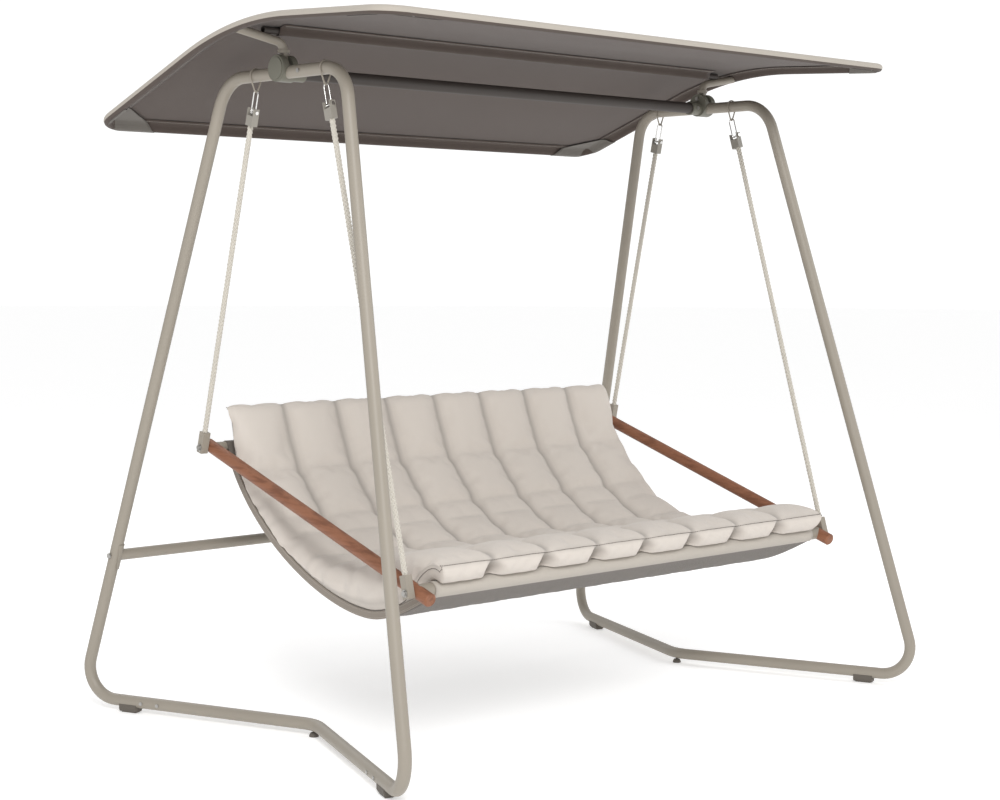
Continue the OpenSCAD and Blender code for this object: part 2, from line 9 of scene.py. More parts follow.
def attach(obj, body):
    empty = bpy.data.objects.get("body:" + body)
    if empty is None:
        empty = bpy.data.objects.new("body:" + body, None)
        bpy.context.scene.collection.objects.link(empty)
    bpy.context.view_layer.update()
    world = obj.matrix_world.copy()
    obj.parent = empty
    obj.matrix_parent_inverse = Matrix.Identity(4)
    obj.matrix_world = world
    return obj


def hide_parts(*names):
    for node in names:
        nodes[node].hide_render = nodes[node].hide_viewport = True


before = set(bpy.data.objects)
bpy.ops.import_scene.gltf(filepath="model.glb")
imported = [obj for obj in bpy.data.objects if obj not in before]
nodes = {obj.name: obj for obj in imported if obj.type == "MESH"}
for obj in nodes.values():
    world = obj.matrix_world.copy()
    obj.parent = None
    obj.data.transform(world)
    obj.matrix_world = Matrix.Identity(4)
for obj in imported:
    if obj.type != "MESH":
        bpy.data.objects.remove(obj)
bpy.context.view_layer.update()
print("stage: frame loaded")

# camera first: position, aim and lens in one place
cameraSet = {
    "place": (-4.3353, -4.6502, 1.4553),
    "yaw": 42.614,
    "pitch": -4.004,
    "roll": 0.229,
    "lens": 68.74,
    "sensor": 36.0,
    "shiftX": 0.0001,
    "shiftY": -0.0027,
}


def makeCamera(cfg):
    data = bpy.data.cameras.new("viewCamera")
    data.lens = cfg["lens"]
    data.sensor_width = cfg["sensor"]
    data.shift_x = cfg["shiftX"]
    data.shift_y = cfg["shiftY"]
    data.clip_end = 200
    cam = bpy.data.objects.new("viewCamera", data)
    bpy.context.scene.collection.objects.link(cam)
    yaw, pitch = math.radians(cfg["yaw"]), math.radians(cfg["pitch"])
    aim = Vector((math.cos(pitch) * math.sin(yaw), math.cos(pitch) * math.cos(yaw), math.sin(pitch)))
    right = Vector((math.cos(yaw), -math.sin(yaw), 0))
    up = right.cross(aim)
    roll = math.radians(cfg["roll"])
    side = right * math.cos(roll) + up * math.sin(roll)
    top = up * math.cos(roll) - right * math.sin(roll)
    turn = Matrix((side, top, -aim)).transposed().to_4x4()
    cam.matrix_world = Matrix.Translation(cfg["place"]) @ turn
    bpy.context.scene.camera = cam


makeCamera(cameraSet)


# finishes: a wrapped socket, and one method for every other node
class Wire:
    def __init__(self, finish, socket):
        self.finish, self.socket = finish, socket

    def sums(self, op, a, b=0.0):
        return self.finish.node("Math", {"operation": op}, {0: a, 1: b})

    def __add__(self, other):
        return self.sums("ADD", self, other)

    def __radd__(self, other):
        return self.sums("ADD", other, self)

    def __sub__(self, other):
        return self.sums("SUBTRACT", self, other)

    def __rsub__(self, other):
        return self.sums("SUBTRACT", other, self)

    def __mul__(self, other):
        return self.sums("MULTIPLY", self, other)

    def __rmul__(self, other):
        return self.sums("MULTIPLY", other, self)

    def sine(self):
        return self.sums("SINE", self)

    def size(self):
        return self.sums("ABSOLUTE", self)

    def within(self):
        return self.finish.node("Clamp", {}, {"Value": self})


class Finish:
    def __init__(self, name, shader):
        self.material = bpy.data.materials.new(name)
        self.material.use_nodes = True
        self.tree = self.material.node_tree
        self.shader = self.tree.nodes["Principled BSDF"]
        for key, value in shader.items():
            self.shader.inputs[key].default_value = value

    def node(self, kind, settings, sockets, out=0):
        made = self.tree.nodes.new("ShaderNode" + kind)
        for key, value in settings.items():
            if key == "stops":
                ramp = made.color_ramp
                while len(ramp.elements) < len(value):
                    ramp.elements.new(0.5)
                for stop, (where, colour) in zip(ramp.elements, value):
                    stop.position, stop.color = where, (*colour, 1)
            else:
                setattr(made, key, value)
        for key, value in sockets.items():
            if isinstance(value, Wire):
                self.tree.links.new(value.socket, made.inputs[key])
            else:
                made.inputs[key].default_value = value
        return Wire(self, made.outputs[out])

    def place(self):
        return self.node("TexCoord", {}, {}, "Object")

    def noise(self, where, scale, detail=2.0, rough=0.5):
        return self.node("TexNoise", {}, {"Vector": where, "Scale": scale, "Detail": detail,
                                          "Roughness": rough})

    def blend(self, factor, first, second):
        first, second = (c if isinstance(c, Wire) else (*c, 1) for c in (first, second))
        return self.node("Mix", {"data_type": "RGBA"}, {0: factor, 6: first, 7: second}, 2)

    def feed(self, name, value):
        self.tree.links.new(value.socket, self.shader.inputs[name])

    def bump(self, height, strength, distance):
        self.feed("Normal", self.node("Bump", {}, {"Height": height, "Strength": strength,
                                                   "Distance": distance}))


def powderCoat(name, colour, grain=1400.0, rough=0.48, relief=0.35):
    f = Finish(name, {"Roughness": rough, "Specular IOR Level": 0.45})
    where = f.place()
    cloud = f.noise(where, 3.0, 3.0)
    speck = f.noise(where, grain, 2.0, 0.6)
    scuff = ((f.noise(where, 38.0, 6.0, 0.7) - 0.66) * 5.0).within()
    dark = tuple(c * 0.93 for c in colour)
    light = tuple(min(1.0, c * 1.05) for c in colour)
    tone = f.blend(cloud, dark, light)
    tone = f.blend(speck * 0.10, tone, tuple(c * 0.72 for c in colour))
    f.feed("Base Color", f.blend(scuff * 0.12, tone, tuple(min(1.0, c * 1.25) for c in colour)))
    f.feed("Roughness", rough - 0.07 + cloud * 0.08 + scuff * 0.1)
    f.bump(speck, relief, 0.0004)
    return f.material


def bareMetal(name, colour, rough, lines=90.0):
    f = Finish(name, {"Metallic": 1.0})
    where = f.place()
    drift = f.noise(where, lines, 5.0, 0.65)
    fine = f.noise(where, lines * 12, 2.0)
    f.feed("Base Color", f.blend(drift, tuple(c * 0.84 for c in colour), colour))
    f.feed("Roughness", rough + drift * 0.14 + fine * 0.05)
    f.bump(fine, 0.15, 0.0002)
    return f.material


def mouldedPlastic(name, colour):
    f = Finish(name, {"Specular IOR Level": 0.4})
    where = f.place()
    grain = f.noise(where, 1700.0, 2.0)
    cloud = f.noise(where, 9.0, 3.0)
    f.feed("Base Color", f.blend(cloud, tuple(c * 0.86 for c in colour), colour))
    f.feed("Roughness", 0.55 + cloud * 0.15)
    f.bump(grain, 0.35, 0.0003)
    return f.material


def oiledTeak(name, slope):
    f = Finish(name, {"Specular IOR Level": 0.35})
    along = f.node("Mapping", {}, {"Vector": f.place(), "Rotation": (-slope, 0, 0),
                                   "Scale": (1.0, 0.06, 1.0)})
    rings = f.noise(along, 55.0, 5.0, 0.6)
    fibres = f.noise(along, 620.0, 3.0, 0.65)
    patch = f.noise(f.place(), 4.5, 3.0)
    band = ((rings * 14.0).sine() * 0.5 + 0.5)
    tone = f.node("ValToRGB", {"stops": [(0.0, (0.075, 0.030, 0.016)), (0.42, (0.200, 0.082, 0.043)),
                                         (0.72, (0.285, 0.124, 0.067)), (1.0, (0.400, 0.192, 0.112))]},
                  {"Fac": band * 0.30 + fibres * 0.34 + rings * 0.38})
    tone = f.blend(((fibres - 0.58) * 6.0).within() * 0.55, tone, (0.040, 0.014, 0.008))
    f.feed("Base Color", f.blend(patch * 0.4, tone, (0.190, 0.066, 0.033)))
    f.feed("Roughness", 0.42 + fibres * 0.22)
    f.bump(fibres * 0.7 + band * 0.3, 0.4, 0.0006)
    return f.material


def wovenCloth(name, colour, thread, tone=0.12, relief=0.5, seamShadeAmount=0.0, sheen=0.15, slub=0.25):
    f = Finish(name, {"Roughness": 0.85, "Sheen Weight": sheen, "Sheen Roughness": 0.5,
                      "Specular IOR Level": 0.2})
    lay = f.node("UVMap", {"uv_map": "cloth"}, {})
    across, along = (f.node("SeparateXYZ", {}, {0: lay}, k) for k in (0, 1))
    turns = 2 * math.pi / thread
    warp, weft = (across * turns).sine(), (along * turns).sine()
    over = warp * weft
    ribs = (warp.size() * (0.5 + over * 0.5) + weft.size() * (0.5 - over * 0.5))
    slubs = f.noise(f.node("Mapping", {}, {"Vector": lay, "Scale": (1.0, 0.06, 1.0)}), 420.0, 2.0)
    cloud = f.noise(f.place(), 3.2, 4.0, 0.6)
    mottle = f.noise(f.place(), 46.0, 3.0, 0.6)
    dull, pale = tuple(c * (1 - tone) for c in colour), tuple(min(1.0, c * (1 + tone)) for c in colour)
    base = f.blend(cloud, dull, pale)
    base = f.blend((1 - ribs) * 0.28 + slubs * slub * 0.5, base, tuple(c * 0.66 for c in colour))
    base = f.blend(mottle * 0.14, base, tuple(c * 0.82 for c in colour))
    # painted shade: the seam attribute darkens the cloth in the quilting's grooves, cross rows and darts
    if seamShadeAmount:
        seamShading = f.node("Attribute", {"attribute_name": "seam"}, {}, "Fac")
        base = f.blend(seamShading * seamShadeAmount, base, tuple(c * 0.45 for c in colour))
    f.feed("Base Color", base)
    f.feed("Roughness", 0.78 + ribs * 0.14)
    f.bump(ribs * 0.7 + slubs * 0.5, relief, thread * 0.25)
    return f.material


def spunYarn(name, colour, fibre):
    f = Finish(name, {"Sheen Weight": 0.2, "Sheen Roughness": 0.5, "Specular IOR Level": 0.2})
    drawn = f.node("Mapping", {}, {"Vector": f.place(), "Scale": (1.0, 1.0, 0.25)})
    strands = f.noise(drawn, fibre * 3, 3.0, 0.6)
    cloud = f.noise(f.place(), 14.0, 3.0)
    tone = f.blend(strands, tuple(c * 0.72 for c in colour), tuple(min(1.0, c * 1.14) for c in colour))
    f.feed("Base Color", f.blend(cloud * 0.5, tone, tuple(c * 0.88 for c in colour)))
    f.feed("Roughness", 0.72 + strands * 0.2)
    f.bump(strands, 0.5, 0.0004)
    return f.material


finishes = {
    "frame": powderCoat("taupePowderCoat", (0.300, 0.268, 0.222)),
    # the beam coat is near black: painted shade under the canopy
    "beam": powderCoat("shadedBeamCoat", (0.050, 0.041, 0.036), 1300.0, 0.6),
    "fork": powderCoat("greyForkCoat", (0.29, 0.27, 0.235), 1100.0, 0.42),
    "hub": powderCoat("darkHubCoat", (0.165, 0.16, 0.128), 900.0, 0.5, 0.5),
    "screw": bareMetal("zincScrew", (0.46, 0.45, 0.43), 0.34, 240.0),
    "bright": bareMetal("brightWire", (0.80, 0.79, 0.77), 0.12, 160.0),
    "plastic": mouldedPlastic("footPlastic", (0.12, 0.105, 0.088)),
    "teak": oiledTeak("oiledTeak", math.atan2(0.362, 1.1)),
    "skin": wovenCloth("canopyOuterCloth", (0.43, 0.392, 0.342), 0.0019, 0.05, 0.4),
    # the canopy's underside cloth is far darker than its outer skin: partly a darker back, partly painted
    # shade under the canopy
    "shadedLining": wovenCloth("canopyLiningShaded", (0.088, 0.068, 0.058), 0.0019, 0.07, 0.4),
    "pocket": wovenCloth("canopyPocketCloth", (0.155, 0.142, 0.126), 0.0022, 0.06, 0.4),
    "sling": wovenCloth("slingCloth", (0.47, 0.43, 0.38), 0.0021, 0.05, 0.5),
    # the sling's belly cloth is darker than its sleeve: painted shade of the sling's underside
    "belly": wovenCloth("slingBellyShade", (0.145, 0.128, 0.112), 0.0021, 0.06, 0.5),
    "tape": wovenCloth("bindingTape", (0.27, 0.235, 0.20), 0.0016, 0.06, 0.6),
    # the cushion cloth takes painted shade along its seams
    "cushion": wovenCloth("cushionCloth", (0.625, 0.572, 0.518), 0.0017, 0.03, 0.35, 0.7, 0.2, 0.12),
    "thread": spunYarn("sewingThread", (0.13, 0.112, 0.096), 900.0),
    "paleThread": spunYarn("paleThread", (0.42, 0.38, 0.33), 900.0),
    "rope": spunYarn("ropeYarn", (0.60, 0.565, 0.50), 520.0),
}
print("stage: finishes made")


def dress(names, finish):
    for name in names:
        cad = nodes[name]
        if cad.material_slots:
            for s in cad.material_slots:
                s.link = "OBJECT"
                s.material = finishes[finish]
        else:
            cad.data.materials.append(finishes[finish])


corners = ["front_left", "rear_left", "front_right", "rear_right"]
dress(["front_leg_left", "front_leg_right", "rear_leg_left", "rear_leg_right", "base_rail_left",
       "base_rail_right", "crossbar", "crossbar_saddles", "canopy_post_left", "canopy_post_right",
       "bow_left", "bow_right", "canopy_front_tube", "canopy_rear_tube", "front_crosstube",
       "rear_crosstube", "hanger_loops"], "frame")
# painted shade: the beam and the covered ridge tube get the near-black coat
dress(["beam", "ridge_tube"], "beam")
dress(["hub_left", "hub_right", "hub_caps"], "hub")
dress(["end_feet", "mid_feet", "crosstube_plugs"], "plastic")
dress(["rail_screws", "crossbar_bolts", "top_joint_screws", "beam_screws", "tilt_bolts", "canopy_screws",
       "pivot_bolts"], "screw")
dress(["side_bar_left", "side_bar_right"], "teak")
dress(["bail_" + c for c in corners] + ["fork_bolt_" + c for c in corners], "bright")
dress(["fork_" + c for c in corners], "fork")
dress(["bracket_" + c for c in corners], "frame")


# shared makers
def meshPiece(name, verts, faces, finish, uv=None, values=None, second=None, picks=None):
    mesh = bpy.data.meshes.new(name)
    mesh.from_pydata([tuple(map(float, v)) for v in verts], [], faces)
    mesh.materials.append(finishes[finish])
    if second:
        mesh.materials.append(finishes[second])
    if picks is not None:
        mesh.polygons.foreach_set("material_index", np.asarray(picks, np.int32))
    if uv is not None:
        layer = mesh.uv_layers.new(name="cloth")
        loops = np.empty(len(mesh.loops), np.int32)
        mesh.loops.foreach_get("vertex_index", loops)
        layer.data.foreach_set("uv", np.asarray(uv, np.float32)[loops].ravel())
    for key, value in (values or {}).items():
        mesh.attributes.new(key, "FLOAT", "POINT").data.foreach_set("value", np.asarray(value, np.float32))
    mesh.polygons.foreach_set("use_smooth", np.ones(len(mesh.polygons), bool))
    mesh.update()
    piece = bpy.data.objects.new(name, mesh)
    bpy.context.scene.collection.objects.link(piece)
    return piece


def faceOut(piece):
    bm = bmesh.new()
    bm.from_mesh(piece.data)
    bmesh.ops.recalc_face_normals(bm, faces=bm.faces)
    bm.to_mesh(piece.data)
    bm.free()


def finishPiece(piece, body, replaced=()):
    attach(piece, body)
    if replaced:
        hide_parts(*replaced)


def thicken(piece, amount, offset=0.0, inner=0):
    wall = piece.modifiers.new("wall", "SOLIDIFY")
    wall.thickness, wall.offset = amount, offset
    wall.use_even_offset = False
    wall.material_offset = inner


def gridFaces(rows, columns, closed=False):
    faces = []
    for i in range(rows - 1):
        for j in range(columns if closed else columns - 1):
            k = (j + 1) % columns
            faces.append((i * columns + j, i * columns + k, (i + 1) * columns + k, (i + 1) * columns + j))
    return faces


def bezier(a, b, c, d, n):
    t = np.linspace(0, 1, n + 1)[:, None]
    a, b, c, d = (np.array(p, float) for p in (a, b, c, d))
    return (1 - t) ** 3 * a + 3 * t * (1 - t) ** 2 * b + 3 * t * t * (1 - t) * c + t ** 3 * d


def lengths(line):
    return np.r_[0, np.cumsum(np.linalg.norm(np.diff(line, axis=0), axis=1))]


def resample(line, where):
    s = lengths(line)
    return np.stack([np.interp(where, s, line[:, k]) for k in range(line.shape[1])], 1)


def sideways(line):
    step = np.gradient(line, axis=0)
    step /= np.linalg.norm(step, axis=1)[:, None]
    return np.stack([-step[:, 1], step[:, 0]], 1)


# a Geometry Nodes tree with named inputs; node() sets a node's settings first, then its sockets
class Grower:
    def __init__(self, name, numbers):
        self.tree = bpy.data.node_groups.new(name, "GeometryNodeTree")
        face = self.tree.interface
        face.new_socket("Geometry", in_out="INPUT", socket_type="NodeSocketGeometry")
        for key, value in numbers.items():
            kind = "NodeSocketInt" if isinstance(value, int) else "NodeSocketFloat"
            face.new_socket(key, in_out="INPUT", socket_type=kind).default_value = value
        face.new_socket("Geometry", in_out="OUTPUT", socket_type="NodeSocketGeometry")
        self.enter = self.tree.nodes.new("NodeGroupInput")
        self.leave = self.tree.nodes.new("NodeGroupOutput")

    def node(self, kind, settings, sockets, out=0):
        made = self.tree.nodes.new(kind)
        for key, value in settings.items():
            setattr(made, key, value)
        for key, value in sockets.items():
            if isinstance(value, bpy.types.NodeSocket):
                self.tree.links.new(value, made.inputs[key])
            else:
                made.inputs[key].default_value = value
        return made.outputs[out]

    def sums(self, op, a, b=0.0):
        return self.node("ShaderNodeMath", {"operation": op}, {0: a, 1: b})

    def given(self, key):
        return self.enter.outputs[key]

    def close(self, geometry, finish):
        real = self.node("GeometryNodeRealizeInstances", {}, {"Geometry": geometry})
        coat = self.node("GeometryNodeSetMaterial", {}, {"Geometry": real, "Material": finishes[finish]})
        self.tree.links.new(coat, self.leave.inputs["Geometry"])

    def grow(self, name, seed, numbers=None):
        grown = seed.modifiers.new(name, "NODES")
        grown.node_group = self.tree
        for item in self.tree.interface.items_tree:
            if item.in_out == "INPUT" and item.name in (numbers or {}):
                grown[item.identifier] = numbers[item.name]
        seed.data.update()
        bpy.context.view_layer.update()
        ready = seed.evaluated_get(bpy.context.evaluated_depsgraph_get())
        mesh = bpy.data.meshes.new_from_object(ready)
        mesh.name = name
        seed.modifiers.remove(grown)
        bpy.data.objects.remove(seed)
        piece = bpy.data.objects.new(name, mesh)
        bpy.context.scene.collection.objects.link(piece)
        return piece


def linePiece(name, lines):
    verts, edges = [], []
    for line in lines:
        first = len(verts)
        verts += [tuple(map(float, p)) for p in line]
        edges += [(first + i, first + i + 1) for i in range(len(line) - 1)]
    mesh = bpy.data.meshes.new(name)
    mesh.from_pydata(verts, edges, [])
    piece = bpy.data.objects.new(name, mesh)
    bpy.context.scene.collection.objects.link(piece)
    return piece


def stitchTree(finish):
    g = Grower("stitchRun_" + finish, {"Gap": 0.007, "Length": 0.0046, "Thread": 0.0007})
    run = g.node("GeometryNodeMeshToCurve", {}, {"Mesh": g.given("Geometry")})
    run = g.node("GeometryNodeResampleCurve", {"mode": "LENGTH"}, {"Curve": run, "Length": g.given("Gap")})
    bead = g.node("GeometryNodeMeshUVSphere", {}, {"Segments": 6, "Rings": 4, "Radius": 1.0})
    half = g.sums("MULTIPLY", g.given("Length"), 0.5)
    size = g.node("ShaderNodeCombineXYZ", {}, {"X": g.given("Thread"), "Y": g.given("Thread"), "Z": half})
    way = g.node("GeometryNodeInputTangent", {}, {})
    aim = g.node("FunctionNodeAlignRotationToVector", {"axis": "Z"}, {"Vector": way})
    spots = g.node("GeometryNodeInstanceOnPoints", {},
                   {"Points": run, "Instance": bead, "Rotation": aim, "Scale": size})
    g.close(spots, finish)
    return g


print("stage: makers ready")

# canopy: one skin, rolled round the edge tubes and hemmed inside
canopySet = {
    "halfWide": 1.107,
    "front": (-0.688, 2.127),
    "ridge": (0.004, 2.165),
    "rear": (0.761, 1.893),
    "bend": 1.3,
    "corner": 0.075,
    "tube": 0.011,
    "lift": 0.0022,
    "rim": 0.0135,
    "hem": 0.046,
    "sag": 0.006,
    "cloth": 0.0013,
    "cells": (62, 44),
    "sleeveHalf": 0.958,
    "sleeveCloth": 0.0012,
    "pocketReach": (0.205, 0.165),
    "pocketCells": 16,
    "pocketCloth": 0.0011,
}


class CanopyRun:
    # the skin's own map: x across, s along the profile, g above the tubes' centre surface
    def __init__(self, cfg):
        front, ridge, rear = (np.array(cfg[k]) for k in ("front", "ridge", "rear"))
        self.a = (ridge - front) / np.linalg.norm(ridge - front)
        self.b = (rear - ridge) / np.linalg.norm(rear - ridge)
        self.turn = math.acos(float(self.a @ self.b))
        lead = cfg["bend"] * math.tan(self.turn / 2)
        self.front, self.bend = front, cfg["bend"]
        self.flat = np.linalg.norm(ridge - front) - lead
        self.arc = self.bend * self.turn
        self.long = self.flat + self.arc + np.linalg.norm(rear - ridge) - lead
        self.up = np.array([-self.a[1], self.a[0]])
        self.centre = front + self.a * self.flat - self.up * self.bend

    def at(self, x, s, g):
        x, s, g = (np.asarray(v, float) for v in np.broadcast_arrays(x, s, g))
        w = np.clip((s - self.flat) / self.bend, 0, self.turn)
        spoke = np.cos(w)[..., None] * self.up + np.sin(w)[..., None] * self.a
        way = np.cos(w)[..., None] * self.a - np.sin(w)[..., None] * self.up
        rest = np.where(s < self.flat, s - self.flat, np.maximum(s - self.flat - self.arc, 0))
        flat = self.centre + (self.bend + g)[..., None] * spoke + rest[..., None] * way
        return np.concatenate([x[..., None], flat], -1)

    def ridgeAt(self):
        s = np.linspace(0, self.long, 4001)
        return float(s[np.argmin(np.abs(self.at(0 * s, s, 0 * s)[:, 1]))])


run = CanopyRun(canopySet)
ridgeAt = run.ridgeAt()


def canopyGrid(cfg):
    w, long, r = cfg["halfWide"], run.long, cfg["corner"]
    nx, ns = cfg["cells"]
    ends = np.linspace(0, r, 5)[:-1]
    xs = np.concatenate([-w + ends, np.linspace(-w + r, w - r, nx), w - ends[::-1]])
    ss = np.concatenate([ends, np.linspace(r, long - r, ns), long - ends[::-1]])
    x, s = np.meshgrid(xs, ss, indexing="ij")
    px = np.clip(np.abs(x) - (w - r), 0, r) / r
    ps = np.clip(np.abs(s - long / 2) - (long / 2 - r), 0, r) / r
    x = np.sign(x) * (np.minimum(np.abs(x), w - r) + r * px * np.sqrt(1 - ps ** 2 / 2))
    s = long / 2 + np.sign(s - long / 2) * (
        np.minimum(np.abs(s - long / 2), long / 2 - r) + r * ps * np.sqrt(1 - px ** 2 / 2))
    return x, s


def rimLoop(nx, ns):
    left = [(i, 0) for i in range(nx)]
    top = [(nx - 1, j) for j in range(1, ns)]
    right = [(i, ns - 1) for i in range(nx - 2, -1, -1)]
    down = [(0, j) for j in range(ns - 2, 0, -1)]
    return left + top + right + down


def outwardOf(x, s, cfg):
    w, long, r = cfg["halfWide"], run.long, cfg["corner"]
    dx = x - np.sign(x) * np.minimum(np.abs(x), w - r)
    ds = (s - long / 2) - np.sign(s - long / 2) * np.minimum(np.abs(s - long / 2), long / 2 - r)
    size = np.hypot(dx, ds)
    return dx / size, ds / size


def sagOf(x, s, cfg):
    w = cfg["halfWide"]
    part = np.where(s < ridgeAt, s / ridgeAt, (s - ridgeAt) / (run.long - ridgeAt))
    wave = np.sin(math.pi * np.clip(part, 0, 1)) ** 2 * (1 - np.clip(np.abs(x) / w, 0, 1) ** 4)
    return cfg["sag"] * wave * (1 + 0.25 * np.sin(x * 5.1 + s * 3.0))


def makeCanopy(cfg):
    x, s = canopyGrid(cfg)
    nx, ns = x.shape
    w, long = cfg["halfWide"], run.long
    top = cfg["tube"] + cfg["lift"]
    puckers = 0.0004 * np.sin(x * 97 + np.sin(s * 31) * 2) * np.sin(s * 83)
    g = top - sagOf(x, s, cfg) + puckers
    rows = [(x.ravel(), s.ravel(), g.ravel())]
    loop = rimLoop(nx, ns)
    lx, ls = np.array([x[i, j] for i, j in loop]), np.array([s[i, j] for i, j in loop])
    ox, os = outwardOf(lx, ls, cfg)
    rim = [(math.cos(a) * cfg["rim"], math.sin(a) * cfg["rim"]) for a in np.radians(np.arange(70, -111, -18))]
    rim += [(-0.0095, -0.0078), (-0.0145, -0.001), (-0.020, 0.0055), (-0.028, 0.0086), (-cfg["hem"], 0.0088)]
    for out, high in rim:
        wobble = 0.0003 * np.sin(np.arange(len(lx)) * 0.9) if out < -0.02 else 0
        rows.append((lx + ox * out, ls + os * out, np.full(len(lx), high) + wobble
                     - (sagOf(lx + ox * out, ls + os * out, cfg) if out < -0.02 else 0)))
    verts = np.vstack([run.at(*row) for row in rows])
    uv = np.vstack([np.stack([row[0], row[1]], 1) for row in rows])
    faces = gridFaces(nx, ns)
    picks = [0] * len(faces)
    before = [i * ns + j for i, j in loop]
    for k in range(len(rim)):
        now = [nx * ns + k * len(loop) + i for i in range(len(loop))]
        for i in range(len(loop)):
            n = (i + 1) % len(loop)
            faces.append((before[i], now[i], now[n], before[n]))
            # rim rows past the turn take the dark underside cloth, from an earlier row along the rear edge:
            # painted shade
            picks.append(0 if k < (4 if os[i] > 0.7 else 6) else 1)
        before = now
    piece = meshPiece("canopySkin", verts, faces, "skin", uv, second="shadedLining", picks=picks)
    faceOut(piece)
    if piece.data.polygons[(nx // 2) * (ns - 1)].normal.z < 0:
        piece.data.flip_normals()
    thicken(piece, cfg["cloth"], -1.0, 1)
    finishPiece(piece, "canopy", ["canopy_fabric", "canopy_hem"])
    wrap = 2 * (math.pi * cfg["rim"] + cfg["hem"] - 0.008)
    2 * w + wrap
    long + wrap


makeCanopy(canopySet)


def laidOut(x, s, g):
    return run.at(x.ravel(), s.ravel(), g.ravel()), np.stack([x.ravel(), s.ravel()], 1)


def makeRidgeSleeve(cfg):
    across = np.array([(-0.046, 0.0088), (-0.034, 0.0086), (-0.022, 0.0080), (-0.0155, 0.004),
                       (-0.0135, -0.002), (-0.0115, -0.0078), (-0.0065, -0.0122), (0.0, -0.0136)])
    across = np.vstack([across, across[-2::-1] * (-1, 1)])
    xs = np.linspace(-cfg["sleeveHalf"], cfg["sleeveHalf"], 90)
    x, ds = np.meshgrid(xs, across[:, 0], indexing="ij")
    g = np.broadcast_to(across[:, 1], x.shape) + 0.0004 * np.sin(x * 60 + ds * 90)
    verts, uv = laidOut(x, ridgeAt + ds, g)
    # the ridge sleeve under the canopy takes the dark underside cloth: painted shade
    piece = meshPiece("ridgeSleeve", verts, gridFaces(*x.shape), "shadedLining", uv)
    thicken(piece, cfg["sleeveCloth"])
    finishPiece(piece, "canopy")


def makePocket(cfg, sx, end):
    # a folded corner pocket: it starts under the rim and runs up to the skin
    w, long = cfg["halfWide"], run.long
    reachX, reachS = cfg["pocketReach"]
    part = np.linspace(0, 1, cfg["pocketCells"])
    a, b = np.meshgrid(part, part, indexing="ij")
    dx, ds = a * reachX * (1 - b), b * reachS
    r = cfg["corner"] + 0.004
    inX, inS = np.clip(r - dx, 0, r) / r, np.clip(r - ds, 0, r) / r
    dx = dx + r * inX * (1 - np.sqrt(1 - inS ** 2 / 2))
    ds = ds + r * inS * (1 - np.sqrt(1 - inX ** 2 / 2))
    depth = np.minimum(dx, ds)
    rise = np.clip((depth - 0.006) / 0.030, 0, 1)
    g = -0.0148 + 0.0205 * rise * rise * (3 - 2 * rise)
    x = sx * (w + 0.002 - dx)
    s = ds - 0.002 if end < 0 else long + 0.002 - ds
    return x, s, g


def makePockets(cfg):
    verts, faces, uv = [], [], []
    for sx in (-1, 1):
        for end in (-1, 1):
            x, s, g = makePocket(cfg, sx, end)
            first = sum(len(v) for v in verts)
            laid, flat = laidOut(x, s, g)
            verts.append(laid)
            uv.append(flat)
            faces += [tuple(first + k for k in q) for q in gridFaces(*x.shape)]
    piece = meshPiece("cornerPockets", np.vstack(verts), faces, "pocket", np.vstack(uv))
    thicken(piece, cfg["pocketCloth"])
    finishPiece(piece, "canopy", ["corner_pockets"])


makeRidgeSleeve(canopySet)
makePockets(canopySet)
print("stage: canopy skin")

# seat: sling below, quilted cushion on top
seatSet = {
    "barFront": (-0.635, 0.514),
    "barRear": (0.465, 0.876),
    "pivotFront": -0.577,
    "pivotRear": 0.442,
    "tubeFront": 0.0222,
    "tubeRear": 0.0152,
    "slingHalf": 0.850,
    "cloth": 0.0022,
    "binding": 0.024,
    "bindingHalf": 0.0036,
    "bindingOut": 0.0037,
    "bindingSteps": 120,
    "seamsAt": (0.0045, 0.0195),
}


def barAt(y):
    (y0, z0), (y1, z1) = seatSet["barFront"], seatSet["barRear"]
    return z0 + (y - y0) * (z1 - z0) / (y1 - y0)


def slingLine(lift):
    f, r = seatSet["pivotFront"], seatSet["pivotRear"]
    low = np.vstack([bezier((f, barAt(f) - 0.024), (-0.505, 0.474), (-0.4, 0.412), (-0.3, 0.412), 14),
                     bezier((-0.3, 0.412), (-0.06, 0.412), (0.325, 0.605), (r - 0.015, barAt(r)), 34)[1:]])
    return low + lift * sideways(low)


def ringRun(y, radius, start, stop, steps):
    a = np.radians(np.linspace(start, stop, steps))
    return np.stack([y + radius * np.cos(a), barAt(y) + radius * np.sin(a)], 1)


